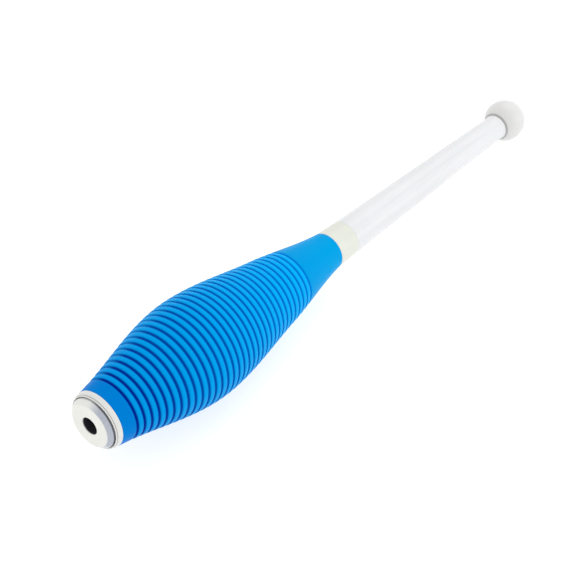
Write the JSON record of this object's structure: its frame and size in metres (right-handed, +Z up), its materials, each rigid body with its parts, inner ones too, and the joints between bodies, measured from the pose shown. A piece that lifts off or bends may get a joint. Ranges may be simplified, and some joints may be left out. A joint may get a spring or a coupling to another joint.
{
  "type": "juggling club",
  "caption": "Juggling club with a ribbed hollow body, bevelled end cap, tapered handle and ball knob on a wooden dowel, lying on its side.",
  "frame": {"origin": "on the floor under the middle of the lying club, where z = 0 is the surface that the ribs and the knob rest on", "axes": "+X from the cap end to the knob, +Y across the club, +Z up; the club's own axis dips 3.37 degrees towards the knob"},
  "size_m": [0.5196, 0.0814, 0.0817],
  "materials": {
    "blue_plastic": "satin",
    "ring_plastic": "satin",
    "cap_plastic": "soft matt",
    "pad_foam": "matt",
    "zinc_steel": "zinc plated",
    "beech": "sanded",
    "bush_wood": "sanded",
    "ivory_plastic": "satin",
    "handle_plastic": "satin",
    "knob_plastic": "satin"
  },
  "bodies": {
    "root": {"body_shell": "blue_plastic", "end_ring": "ring_plastic", "end_cap": "cap_plastic", "cap_pad": "pad_foam", "cap_washer": "zinc_steel", "cap_screw": "zinc_steel", "dowel": "beech", "neck_bush": "bush_wood", "neck_tacks": "zinc_steel", "neck_collar": "ivory_plastic", "handle_sleeve": "handle_plastic", "knob": "knob_plastic", "knob_washer": "zinc_steel", "knob_screw": "zinc_steel"}
  },
  "joints": []
}
